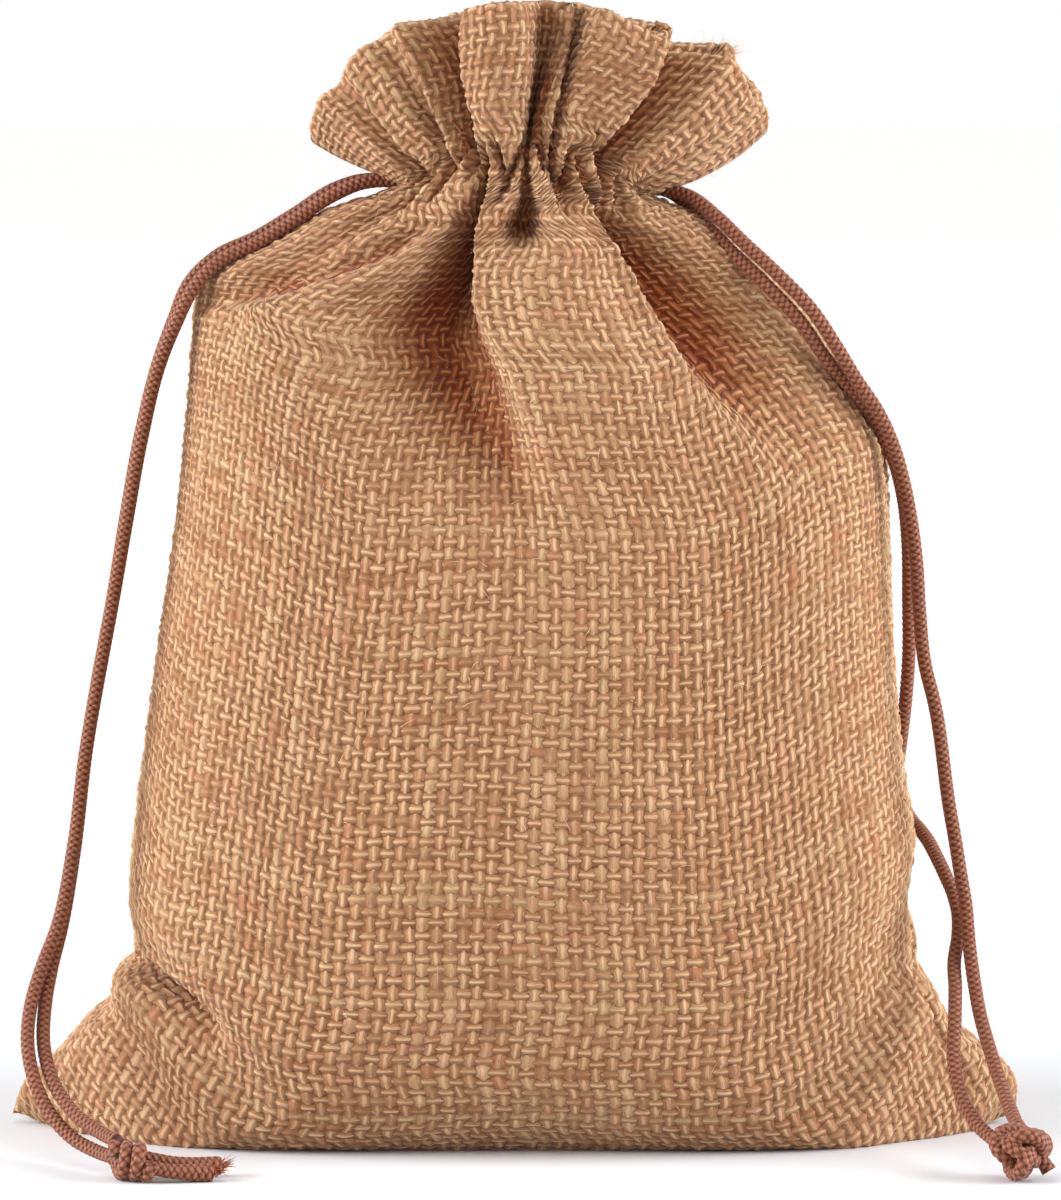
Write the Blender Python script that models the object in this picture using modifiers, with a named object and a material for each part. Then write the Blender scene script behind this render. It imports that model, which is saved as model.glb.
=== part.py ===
"""Burlap drawstring pouch, standing filled and drawn shut.

Metres, +Z up.  The front of the pouch faces -Y.  Lengths in the tables are
millimetres and MM turns them into metres.
"""

import bmesh
import bpy
import numpy as np
from mathutils import Vector

MM = 0.001

# ---------------------------------------------------------------- sizes (mm)
CLOTH = 1.0          # thickness of the woven cloth
CORD = 1.6           # braided drawcord
N_HALF = 38          # facets across one panel, seam to seam
V_TOP = 175.0        # cloth from the bottom fold to the folded top edge
V_NECK = 154.5       # the cord line, where the casing is drawn tight

# Rings of the pouch, from the bottom fold up.
# v: cloth from the fold, xl/xr: side seams, zl/zr: their heights,
# zc: height at the panel centre, yf/yb: half depth front and back,
# n: superellipse exponent of the section, g: where the ends start to lift
SECTIONS = [
    # v,    xl,    xr,    zl,    zr,    zc,    yf,   yb,   n,    g
    (0.0,  -65.0,  65.4,   1.2,   1.2,   0.0,   1.6,  1.6, 3.4, 0.92),
    (6.0,  -62.8,  65.4,   4.8,   5.2,   0.0,   7.0,  7.0, 3.8, 0.91),
    (13.0, -58.8,  61.2,   9.2,   9.8,   0.0,  13.8, 13.4, 4.2, 0.89),
    (20.0, -54.4,  56.2,  14.0,  14.0,   0.0,  20.0, 19.2, 4.0, 0.82),
    (24.0, -51.3,  54.7,  16.8,  17.2,   0.9,  23.1, 22.2, 3.8, 0.74),
    (27.0, -51.1,  53.2,  19.6,  19.6,   2.4,  25.4, 24.3, 3.5, 0.66),
    (30.0, -48.4,  51.9,  22.2,  22.0,   4.6,  27.3, 26.1, 3.2, 0.59),
    (33.0, -48.3,  52.0,  24.9,  24.6,   7.2,  28.9, 27.6, 3.0, 0.55),
    (38.0, -49.0,  50.8,  29.8,  29.6,  11.9,  31.0, 29.6, 2.8, 0.52),
    (46.0, -48.6,  51.8,  36.8,  37.4,  19.8,  32.6, 31.2, 2.45, 0.46),
    (56.0, -47.6,  50.6,  45.4,  45.6,  29.8,  33.2, 32.0, 2.3, 0.42),
    (68.0, -46.2,  49.5,  56.0,  56.4,  41.8,  33.0, 31.8, 2.2, 0.40),
    (80.0, -44.8,  48.9,  66.2,  66.6,  53.8,  32.2, 31.0, 2.1, 0.40),
    (92.0, -43.2,  48.5,  76.8,  77.2,  65.7,  30.8, 29.6, 2.1, 0.40),
    (104.0, -42.0, 48.1,  87.4,  87.4,  77.5,  28.8, 27.8, 2.1, 0.40),
    (113.0, -41.3, 44.8,  95.4,  95.0,  86.2,  26.6, 25.8, 2.1, 0.42),
    (121.0, -40.8, 40.6, 102.2, 101.4,  93.8,  24.1, 23.6, 2.1, 0.42),
    (128.0, -40.2, 36.8, 107.8, 106.6, 100.2,  21.4, 21.2, 2.1, 0.42),
    (134.0, -37.0, 32.6, 110.4, 110.2, 105.6,  18.9, 18.9, 2.05, 0.42),
    (140.0, -30.0, 28.0, 113.2, 113.2, 110.8,  16.4, 16.6, 2.0, 0.42),
    (146.0, -22.6, 22.8, 117.5, 116.0, 116.2,  14.2, 14.4, 2.0, 0.42),
    (151.0, -16.8, 19.4, 119.8, 118.2, 121.0,  12.8, 12.9, 2.0, 0.42),
    (154.5, -14.9, 18.2, 121.4, 120.0, 124.4,  12.2, 12.3, 2.0, 0.42),
    (158.0, -15.5, 19.2, 123.0, 121.8, 127.8,  12.6, 12.7, 2.0, 0.40),
    (163.0, -18.4, 23.2, 124.2, 123.2, 132.8,  14.4, 14.4, 2.0, 0.36),
    (169.0, -21.9, 28.6, 125.2, 125.2, 138.6,  16.2, 16.0, 2.0, 0.30),
    (175.0, -25.4, 33.1, 126.6, 127.8, 144.3,  17.6, 17.2, 2.0, 0.24),
]

# Rings that the solid is built from (cloth from the fold, mm).
RINGS = [0, 3, 8, 14, 20, 23.5, 27, 31, 36, 42, 50, 60, 71, 82, 93, 103, 110,
         116, 121.5, 126.5, 130.5, 134.5, 138.5, 142.5, 146.5, 150, 153,
         156, 159, 163, 167, 171, 175]

# Folds that run down from the drawn neck into the shoulders.
# side: -1 front, 1 back; a0: angle at the neck, a1: angle at the low end,
# v_top..v_end: reach, v_deep: where it is deepest, w: half width (deg),
# depth: inward (mm)
FOLDS = [
    # side, a0,    a1,   v_top, v_end, v_deep, w0,   w1,   depth
    (-1,  -20.0, -15.0,  154.0, 112.0, 141.0, 10.0,  9.0,  4.6),
    (-1,    1.0,   2.0,  152.0, 137.0, 146.0,  6.5,  5.0,  2.2),
    (-1,   30.0,  39.0,  154.0, 106.0, 137.0, 12.0, 12.0,  5.0),
    (-1,  -50.0, -62.0,  152.0, 124.0, 139.0, 10.0,  8.0,  1.8),
    (1,   -38.0, -42.0,  154.0, 112.0, 140.0, 11.0, 11.0,  4.2),
    (1,    -4.0,  -8.0,  154.0, 116.0, 142.0, 10.0,  9.0,  4.0),
    (1,    27.0,  24.0,  154.0, 114.0, 141.0, 10.0,  9.0,  4.4),
    (1,    56.0,  62.0,  152.0, 126.0, 140.0,  9.0,  8.0,  1.8),
]

# Gathers of the casing and the header, a trough each.
# side, a0: angle at the cord, a1: angle at the top edge,
# w0/w1: half width there (deg), d0/d1: depth there (mm)
GATHERS = [
    # side, a0,     a1,     w0,   w1,   d0,   d1
    (-1,  -66.0,  -70.0,   9.0, 10.0,  1.1,  1.2),
    (-1,  -44.0,  -44.0,   8.0,  8.0,  1.2,  1.6),
    (-1,  -22.0,  -18.0,   8.0,  8.5,  1.5,  2.8),
    (-1,   -1.0,   -1.0,   7.0,  6.0,  1.2,  1.2),
    (-1,   16.0,   12.0,   7.0,  7.0,  1.4,  2.4),
    (-1,   36.0,   36.0,   8.5,  9.0,  1.6,  4.2),
    (-1,   60.0,   64.0,   9.0, 10.0,  1.2,  1.6),
    (1,   -64.0,  -66.0,   9.0, 10.0,  1.1,  1.8),
    (1,   -42.0,  -38.0,   9.0,  9.0,  1.5,  3.4),
    (1,   -19.0,  -16.0,   8.0,  8.0,  1.3,  2.0),
    (1,     1.0,    4.0,   8.0,  8.0,  1.4,  3.0),
    (1,    22.0,   25.0,   8.0,  8.0,  1.3,  2.2),
    (1,    44.0,   46.0,   8.5,  9.0,  1.5,  3.4),
    (1,    66.0,   68.0,   9.0, 10.0,  1.1,  1.4),
]

# How far the top edge stands over (+) or under (-) its even curve.
# side, angle, half width (deg), height (mm)
EDGE = [
    # side, a,    w,    up
    (-1,  -30.0, 16.0,  0.7),
    (-1,   33.0, 22.0, -2.2),
    (-1,   72.0, 12.0, -0.8),
    (1,   -40.0, 20.0, -1.4),
    (1,     4.0, 18.0, -1.0),
    (1,    50.0, 18.0,  1.6),
]

# Creases of the lower corners and sides.
# side, angle, v: where it is centred, wa: half width (deg), wv: half height
# (mm), slant: drift of the angle per mm of cloth, depth (mm)
CREASES = [
    # side, a,     v,    wa,   wv,  slant, depth
    (-1,  -66.0,  31.0, 22.0,  5.5,  0.0,   1.6),
    (-1,   64.0,  33.0, 16.0,  6.0,  0.0,   1.0),
    (1,   -60.0,  33.0, 20.0,  6.0,  0.0,   1.4),
    (1,    62.0,  31.0, 20.0,  6.0,  0.0,   1.2),
]

# Drawcords: centre lines (x, y, z in mm) from the casing to the knot.
CORDS = {
    "cord_left_a": [
        (-16.2, -1.3, 121.9), (-19.0, -1.9, 121.6), (-22.4, -2.6, 120.2),
        (-27.6, -3.4, 116.9), (-32.3, -4.4, 114.0), (-37.0, -5.6, 111.8),
        (-40.3, -6.4, 108.4), (-42.6, -6.4, 103.9), (-44.5, -6.4, 99.3),
        (-47.0, -6.6, 89.4), (-48.9, -7.0, 79.1), (-50.7, -7.7, 68.8),
        (-52.6, -8.9, 58.5), (-54.1, -10.3, 49.7), (-55.6, -13.0, 37.3),
        (-57.5, -16.0, 27.7), (-59.3, -18.0, 22.9), (-60.5, -20.0, 18.6),
        (-60.8, -22.5, 14.5), (-60.0, -25.2, 10.6), (-57.8, -28.4, 6.4),
        (-54.6, -31.8, 3.6), (-51.2, -35.6, 2.5), (-48.9, -39.1, 2.4),
    ],
    "cord_left_b": [
        (-16.2, 1.1, 121.9), (-19.0, 0.7, 121.9), (-22.4, -0.3, 120.9),
        (-27.7, -1.3, 117.6), (-32.7, -2.2, 114.6), (-37.4, -3.3, 112.4),
        (-41.0, -4.3, 108.9), (-43.0, -4.4, 104.2), (-44.8, -4.4, 99.3),
        (-47.3, -4.6, 89.4), (-49.2, -5.0, 79.0), (-50.9, -5.7, 68.6),
        (-52.8, -6.9, 58.3), (-54.2, -8.3, 49.5), (-55.6, -11.0, 37.0),
        (-57.1, -13.9, 27.4), (-58.2, -16.3, 22.6), (-58.8, -18.8, 18.6),
        (-58.8, -22.0, 13.7), (-57.4, -25.7, 9.7), (-54.3, -30.2, 6.3),
        (-50.6, -35.2, 4.7), (-48.5, -39.0, 4.4),
    ],
    "cord_right_a": [
        (19.9, -1.4, 120.7), (22.6, -3.0, 120.0), (26.4, -6.2, 117.2),
        (29.4, -8.6, 114.3), (33.5, -10.8, 110.5), (38.1, -11.8, 105.7),
        (41.0, -11.6, 101.4), (43.7, -11.1, 97.0), (46.7, -10.3, 92.5),
        (48.7, -9.6, 88.0), (50.0, -9.2, 83.4), (50.9, -9.0, 78.8),
        (51.6, -8.9, 73.6), (52.0, -9.0, 67.5), (52.7, -9.4, 60.7),
        (53.9, -10.2, 55.7), (55.8, -12.0, 42.4), (56.6, -12.4, 37.8),
        (57.2, -12.8, 34.0), (57.8, -13.6, 30.3), (58.1, -15.2, 26.0),
        (58.6, -17.8, 21.3), (59.2, -20.8, 17.3), (60.2, -24.6, 13.4),
        (61.2, -29.2, 10.0), (62.2, -34.6, 7.2), (62.6, -37.7, 6.2),
    ],
    "cord_right_b": [
        (19.9, 1.0, 120.6), (22.2, -0.6, 119.2), (24.6, -4.2, 116.6),
        (28.1, -8.0, 112.9), (32.1, -10.4, 109.1), (36.6, -11.3, 104.3),
        (39.6, -10.6, 100.0), (43.0, -9.2, 96.0), (46.4, -7.8, 91.6),
        (48.7, -5.8, 86.8), (50.2, -3.2, 81.5), (51.0, -0.6, 75.5),
        (51.3, 2.2, 68.0), (51.5, 4.4, 61.0), (51.3, 6.8, 54.8),
        (50.9, 9.6, 49.2), (50.6, 11.3, 45.8), (50.5, 11.9, 42.8),
        (51.2, 11.0, 40.2), (52.1, 8.6, 38.6), (53.1, 5.2, 37.6),
        (54.0, 1.5, 36.5), (54.8, -2.6, 35.0), (55.7, -6.5, 33.1),
        (56.6, -9.6, 30.8), (57.0, -11.7, 28.6), (56.9, -12.9, 26.2),
        (56.3, -15.0, 23.4), (56.2, -18.4, 20.4), (55.9, -22.2, 16.6),
        (55.6, -25.4, 12.3), (56.2, -28.8, 8.6), (58.2, -33.5, 5.3),
        (60.0, -37.1, 4.1),
    ],
}

# Knots: lobes of the tied cord ends (x, y, z and radius in mm), chained.
KNOTS = {
    "knot_left": [
        (-48.4, -41.2, 3.4, 1.9), (-46.6, -42.6, 3.0, 2.8),
        (-47.8, -43.2, 2.4, 2.2), (-45.2, -42.4, 3.3, 2.2),
        (-45.4, -43.4, 2.2, 2.0),
    ],
    "knot_right": [
        (60.8, -39.2, 4.3, 1.9), (62.6, -39.6, 5.4, 1.9),
        (62.2, -41.2, 4.0, 3.4), (64.2, -41.4, 3.9, 3.0),
        (62.0, -42.4, 2.8, 2.7), (64.6, -42.0, 2.5, 2.3),
        (63.0, -40.6, 5.4, 2.4),
    ],
}

# The cord ends that stick out of each knot (x, y, z in mm).
TAILS = {
    "knot_left": [
        [(-44.0, -42.0, 2.6), (-41.4, -40.2, 2.0), (-38.4, -38.6, 1.3),
         (-35.6, -37.4, 1.0)],
        [(-44.0, -43.4, 1.6), (-41.0, -43.2, 1.0), (-36.4, -42.2, 1.0)],
    ],
    "knot_right": [
        [(64.6, -42.4, 2.0), (66.4, -42.6, 1.1)],
    ],
}


# ------------------------------------------------------------- the surface
def hermite(xs, ys, x):
    """Smooth curve through a table, without overshoot beyond its slopes."""
    xs, ys, x = np.asarray(xs, float), np.asarray(ys, float), np.asarray(x, float)
    h = np.diff(xs)
    d = np.diff(ys) / h
    m = np.empty_like(ys)
    m[0], m[-1] = d[0], d[-1]
    same = d[:-1] * d[1:] > 0
    w1, w2 = 2 * h[1:] + h[:-1], h[1:] + 2 * h[:-1]
    with np.errstate(divide="ignore", invalid="ignore"):
        mean = (w1 + w2) / (w1 / d[:-1] + w2 / d[1:])
    m[1:-1] = np.where(same, mean, 0.0)
    i = np.clip(np.searchsorted(xs, x) - 1, 0, len(h) - 1)
    s = (x - xs[i]) / h[i]
    return ((2 * s ** 3 - 3 * s ** 2 + 1) * ys[i]
            + (s ** 3 - 2 * s ** 2 + s) * h[i] * m[i]
            + (-2 * s ** 3 + 3 * s ** 2) * ys[i + 1]
            + (s ** 3 - s ** 2) * h[i] * m[i + 1])


def smooth(a, b, x):
    s = np.clip((x - a) / (b - a), 0.0, 1.0)
    return s * s * (3 - 2 * s)


def bell(x):
    """1 at 0, falling smoothly to 0 at +-1."""
    x = np.clip(np.abs(x), 0.0, 1.0)
    return (1 - x * x) ** 2


def pouch(side, a, v):
    """Points (mm) of a panel: side -1 front or 1 back, a degrees, v mm."""
    a, v = np.broadcast_arrays(np.asarray(a, float), np.asarray(v, float))
    cols = np.array(SECTIONS).T
    xl, xr, zl, zr, zc, yf, yb, n, g = [hermite(cols[0], c, v) for c in cols[1:]]
    t = np.radians(a)
    sn, cs = np.sin(t), np.abs(np.cos(t))
    p = 2.0 / n
    sx = np.sign(sn) * np.abs(sn) ** p
    cy = cs ** p
    hx, xm = (xr - xl) / 2, (xr + xl) / 2
    hy = yf if side < 0 else yb
    zs = np.where(sn < 0, zl, zr)
    lift = smooth(g, 1.0, np.abs(sx))
    header = smooth(V_NECK, V_TOP, v)
    lift = lift * (1 - header) + (1 - np.sqrt(np.clip(1 - sx * sx, 0, 1))) * header
    x = xm + hx * sx
    y = side * hy * cy
    z = zc + (zs - zc) * lift
    if side < 0:            # the front of the foot lifts a little between two feet
        z = z + 1.5 * np.exp(-((x - 3) / 17.0) ** 2) * bell((v - 28) / 9.0)

    for s, ac, w, up in EDGE:
        if s == side:
            z = z + up * header * bell((a - ac) / w)

    inward = np.zeros_like(x)
    for s, a0, a1, v_top, v_end, v_deep, w0, w1, depth in FOLDS:
        if s == side:
            down = np.clip((v_top - v) / (v_top - v_end), 0, 1)
            mid = a0 + (a1 - a0) * down
            wid = w0 + (w1 - w0) * down
            along = np.where(v > v_deep, smooth(v_top + 3, v_deep, v),
                             smooth(v_end, v_deep, v))
            inward += depth * along * bell((a - mid) / (1.6 * wid))
    for s, a0, a1, w0, w1, d0, d1 in GATHERS:
        if s == side:
            up = smooth(V_NECK, V_TOP, v)
            reach = smooth(V_NECK - 13, V_NECK - 3, v)
            mid, wid = a0 + (a1 - a0) * up, w0 + (w1 - w0) * up
            inward += (d0 + (d1 - d0) * up) * reach * bell((a - mid) / (1.5 * wid))
    for s, ac, vc, wa, wv, slant, depth in CREASES:
        if s == side:
            mid = ac + slant * (v - vc)
            inward += depth * bell((a - mid) / wa) * bell((v - vc) / wv)
    r = np.hypot(x - xm, y)
    shrink = 1 - inward / np.maximum(r, 4.0)
    x = xm + (x - xm) * shrink
    y = y * shrink
    return np.stack([x, y, np.maximum(z, 0.0)], -1)


# -------------------------------------------------------------- the builders
def clear_scene():
    for obj in list(bpy.data.objects):
        bpy.data.objects.remove(obj, do_unlink=True)


def material(name, color, roughness):
    mat = bpy.data.materials.new(name)
    mat.use_nodes = True
    bsdf = mat.node_tree.nodes["Principled BSDF"]
    bsdf.inputs["Base Color"].default_value = (*color, 1.0)
    bsdf.inputs["Roughness"].default_value = roughness
    bsdf.inputs["Metallic"].default_value = 0.0
    return mat


def add(name, data, group, mat):
    obj = bpy.data.objects.new(name, data)
    group.objects.link(obj)
    data.materials.append(mat)
    return obj


def half_ring(side, v):
    """One panel's ring from seam to seam, its points evenly spaced in the cloth."""
    fine = np.linspace(-90.0, 90.0, 721)
    run = np.linalg.norm(np.diff(pouch(side, fine, v), axis=0), axis=1)
    run = np.concatenate([[0.0], np.cumsum(run)])
    even = np.linspace(0.0, run[-1], N_HALF + 1)
    return pouch(side, np.interp(even, run, fine), v)


def sack(group, mat):
    bm = bmesh.new()
    rings = []
    for v in RINGS:
        front, back = half_ring(-1, float(v)), half_ring(1, float(v))
        pts = np.concatenate([front, back[-2:0:-1]])
        rings.append([bm.verts.new(p * MM) for p in pts])
    count = len(rings[0])
    for low, high in zip(rings, rings[1:]):
        for i in range(count):
            j = (i + 1) % count
            bm.faces.new((low[i], low[j], high[j], high[i]))
    fold = rings[0]
    for i in range(N_HALF):                 # the flat strip along the bottom fold
        f0, f1 = fold[i], fold[i + 1]
        b0, b1 = fold[(count - i) % count], fold[count - i - 1]
        corners = [c for k, c in enumerate((f0, b0, b1, f1))
                   if c not in (f0, b0, b1, f1)[:k]]
        bm.faces.new(corners)
    mesh = bpy.data.meshes.new("sack_cloth")
    bm.to_mesh(mesh)
    bm.free()
    obj = add("sack_cloth", mesh, group, mat)
    shell = obj.modifiers.new("cloth", "SOLIDIFY")
    shell.thickness = CLOTH * MM
    shell.offset = -1.0
    shell.use_even_offset = True
    return obj


def cord(name, points, group, mat):
    curve = bpy.data.curves.new(name, "CURVE")
    curve.dimensions = "3D"
    curve.bevel_depth = CORD * MM / 2
    curve.bevel_resolution = 2
    curve.use_fill_caps = True
    pts = np.array(points, float)
    run = np.concatenate([[0], np.cumsum(np.linalg.norm(np.diff(pts, axis=0), axis=1))])
    count = int(run[-1] / (2.3 * CORD))
    at = np.linspace(0, run[-1], count)
    fine = np.stack([catmull(run, pts[:, k], at) for k in range(3)], 1)
    line = curve.splines.new("POLY")
    line.points.add(len(fine) - 1)
    for point, p in zip(line.points, fine):
        point.co = (*(p * MM), 1.0)
    return add(name, curve, group, mat)


def catmull(xs, ys, x):
    """Smooth curve through evenly weighted points."""
    xs, ys = np.asarray(xs, float), np.asarray(ys, float)
    m = np.gradient(ys, xs)
    i = np.clip(np.searchsorted(xs, x) - 1, 0, len(xs) - 2)
    h = xs[i + 1] - xs[i]
    s = (x - xs[i]) / h
    return ((2 * s ** 3 - 3 * s ** 2 + 1) * ys[i]
            + (s ** 3 - 2 * s ** 2 + s) * h * m[i]
            + (-2 * s ** 3 + 3 * s ** 2) * ys[i + 1]
            + (s ** 3 - s ** 2) * h * m[i + 1])


def knot(name, lobes, group, mat):
    """The tied ends as one lump: balls in a chain, fused by a voxel remesh."""
    bm = bmesh.new()
    balls = list(lobes)
    for tail in TAILS[name]:
        pts = np.array(tail)
        run = np.linalg.norm(np.diff(pts, axis=0), axis=1)
        run = np.concatenate([[0.0], np.cumsum(run)])
        for at in np.arange(0.0, run[-1], 0.35 * CORD):
            balls.append([np.interp(at, run, pts[:, k]) for k in range(3)]
                         + [0.56 * CORD])
    for x, y, z, r in balls:
        ball = bmesh.ops.create_icosphere(bm, subdivisions=2, radius=r * MM)
        bmesh.ops.translate(bm, verts=ball["verts"], vec=Vector((x, y, z)) * MM)
    mesh = bpy.data.meshes.new(name)
    bm.to_mesh(mesh)
    bm.free()
    obj = add(name, mesh, group, mat)
    fuse = obj.modifiers.new("fuse", "REMESH")
    fuse.mode = "VOXEL"
    fuse.voxel_size = 0.52 * MM
    soften = obj.modifiers.new("soften", "SMOOTH")
    soften.factor = 0.5
    soften.iterations = 2
    return obj


def build():
    clear_scene()
    group = bpy.data.collections.new("burlap_sack")
    bpy.context.scene.collection.children.link(group)
    burlap = material("burlap_tan", (0.52, 0.33, 0.17), 0.93)
    brown = material("braid_brown", (0.28, 0.10, 0.05), 0.7)
    sack(group, burlap)
    for name, points in CORDS.items():
        cord(name, points, group, brown)
    for name, lobes in KNOTS.items():
        knot(name, lobes, group, brown)


build()
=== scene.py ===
"""The looks of a burlap drawstring pouch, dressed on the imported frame.

Metres, +Z up, the front of the pouch faces -Y.  Tables are in millimetres
and degrees, and MM turns millimetres into metres.  Left and right are as
seen from the front.
"""

import functools
import math

import bpy
import numpy as np
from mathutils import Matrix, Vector


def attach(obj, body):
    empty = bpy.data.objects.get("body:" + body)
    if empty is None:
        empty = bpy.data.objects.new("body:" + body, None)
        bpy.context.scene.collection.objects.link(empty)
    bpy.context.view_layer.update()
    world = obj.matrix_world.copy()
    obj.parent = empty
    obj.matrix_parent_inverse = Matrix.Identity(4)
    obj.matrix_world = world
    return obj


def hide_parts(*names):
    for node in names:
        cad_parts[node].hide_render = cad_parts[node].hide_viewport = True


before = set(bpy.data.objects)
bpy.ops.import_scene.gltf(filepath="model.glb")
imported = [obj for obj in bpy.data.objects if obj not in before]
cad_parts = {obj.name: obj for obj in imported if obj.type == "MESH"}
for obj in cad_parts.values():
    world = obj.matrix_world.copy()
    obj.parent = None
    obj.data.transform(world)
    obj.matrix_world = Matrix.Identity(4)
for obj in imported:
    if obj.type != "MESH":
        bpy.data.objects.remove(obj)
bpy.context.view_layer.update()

MM = 0.001

# ---- the camera and the lights
CAMERA_AT = (0.0025, -0.8, 0.138)
CAMERA_TO = (0.0025, 0.0, 0.068)
SENSOR = 36.0
LENS = 187.2

LIGHTS = [
    # name,    at,                    size, power
    ("left",  (-1.00, -0.21, 0.30),   0.80, 20.8),
    ("right", (1.00, -0.20, 0.30),    0.80, 20.0),
]
LIGHTS_TO = (0.0, 0.0, 0.07)
LIGHT_TINT = (0.95, 1.0, 1.08)
SUN_AT, SUN_POWER, SUN_ACROSS = (-0.10, -0.25, 1.0), 0.57, 45.0    # across in deg
SKY = 0.42
FLOOR_REACH = 12000.0     # mm

# ---- the cloth (mm)
FRONT, BACK = -1, 1   # the two panels, and the way each faces along y
WARPS = 84            # yarns that run up, seam to seam
WEFTS = 120           # yarns that run across, from the fold to the top edge
PER = 3               # mesh steps a yarn
OFF_GAPS = 0.5 / PER  # the relief is sampled this far off the gaps between yarns
V_FOLD = -1.6         # where the front and back meet under the pouch
V_TOP = 175.0         # the top edge
V_NECK = 154.5        # the cord line
HEM = 1.0             # radius of the folded top edge
HEM_STEPS = 6         # mesh steps around it
HEM_DOWN = 22.0       # how far the turned hem reaches down inside
HEM_LAP = 4.0         # how far the inner face reaches up behind the hem
THICK = 1.0           # from the outer face of the cloth to the inner one
PITCH = (V_TOP - HEM - V_FOLD) / WEFTS
EVEN_TO = 108.0       # up to here the wefts are spaced evenly along the cloth
SEED = 7
OTHER_YARNS = 200.0   # from one face's yarn numbers to the next face's

# Relief of the weave: how far a yarn sways, how round it stands, half its
# width in pitches, and the floor of the gaps between yarns.
SWAY, ROUND, HALF_YARN, GAP = 0.16, 0.38, 0.50, -0.12
SINK = 0.26           # the relief is let into the cloth by this much
JITTER = 0.16         # how far a yarn wanders, in pitches
DRIFT, SAG = 0.45, 0.50       # how far bundles of warps and wefts do so
LUMPS = 0.35          # height of the broad unevenness of the cloth
PUCKER = 0.65         # depth of the fine puckers at the neck
DEEPEST = 0.84        # share of the way to the middle that a fold may reach

# Rings of the pouch, from the frame's own source, with the shoulders and the
# left corner a little fuller.  v: distance up the cloth, xl/xr: left and
# right ends, zl/zr: heights there, zc: height of the middle, yf/yb: reach to
# the front and back, n: 2 for an ellipse and more for a squarer ring, g:
# share of the half width where the ends start to leave the middle's height.
SECTIONS = [
    # v, xl, xr, zl, zr, zc, yf, yb, n, g
    (0, -64.6, 65.4, 1.4, 1.2, 0, 1.6, 1.6, 3.4, 0.92),
    (6, -63.3, 65.4, 4.8, 5.2, 0, 7, 7, 3.8, 0.91),
    (13, -58.8, 61.2, 9.2, 9.8, 0, 13.8, 13.4, 4.2, 0.89),
    (20, -54.4, 56.2, 14, 14, 0, 20, 19.2, 4, 0.82),
    (24, -51.3, 54.7, 16.8, 17.2, 0.9, 23.1, 22.2, 3.8, 0.74),
    (27, -51.1, 53.2, 19.6, 19.6, 2.4, 25.4, 24.3, 3.5, 0.66),
    (30, -48.4, 51.9, 22.2, 22, 4.6, 27.3, 26.1, 3.2, 0.59),
    (33, -48.3, 52, 24.9, 24.6, 7.2, 28.9, 27.6, 3, 0.55),
    (38, -49, 50.8, 29.8, 29.6, 11.9, 31, 29.6, 2.8, 0.52),
    (46, -48.6, 51.8, 36.8, 37.4, 19.8, 32.6, 31.2, 2.45, 0.46),
    (56, -47.6, 50.6, 45.4, 45.6, 29.8, 33.2, 32, 2.3, 0.42),
    (68, -46.2, 49.5, 56, 56.4, 41.8, 33, 31.8, 2.2, 0.4),
    (80, -44.8, 48.9, 66.2, 66.6, 53.8, 32.2, 31, 2.1, 0.4),
    (92, -43.2, 48.5, 76.8, 77.2, 65.7, 30.8, 29.6, 2.1, 0.4),
    (104, -42, 48.1, 87.4, 87.4, 77.5, 28.8, 27.8, 2.1, 0.4),
    (113, -41.3, 44.8, 95.4, 95, 86.2, 26.6, 25.8, 2.1, 0.42),
    (121, -40.8, 40.6, 102.2, 101.4, 93.8, 24.1, 23.6, 2.1, 0.42),
    (128, -40.2, 36.8, 107.8, 106.6, 100.2, 21.4, 21.2, 2.1, 0.42),
    (134, -37.6, 33.4, 111, 111, 105.6, 18.9, 18.9, 2.05, 0.42),
    (140, -31, 29.4, 114.2, 114.6, 110.8, 16.4, 16.6, 2, 0.42),
    (146, -23.4, 24.4, 118.2, 117.6, 116.2, 14.2, 14.4, 2, 0.42),
    (151, -17.2, 20.2, 120.2, 119, 121, 12.8, 12.9, 2, 0.42),
    (154.5, -14.9, 18.2, 121.4, 120, 124.4, 12.2, 12.3, 2, 0.42),
    (158, -15.5, 19.2, 121.9, 120.4, 127.8, 12.6, 12.7, 2, 0.4),
    (163, -18.6, 23, 123.2, 121.6, 132.8, 14.4, 14.4, 2, 0.36),
    (169, -22.3, 28.6, 124.9, 124.6, 138.6, 16.2, 16, 2, 0.3),
    (175, -25.6, 33.2, 126.8, 128.4, 144.3, 17.6, 17.2, 2, 0.24),
]

# The front's foot lifts a little in the middle: by how much, around which x
# and over what width, around which v and over what height.
FOOT_LIFT = 1.5, 3.0, 17.0, 28.0, 9.0

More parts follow.
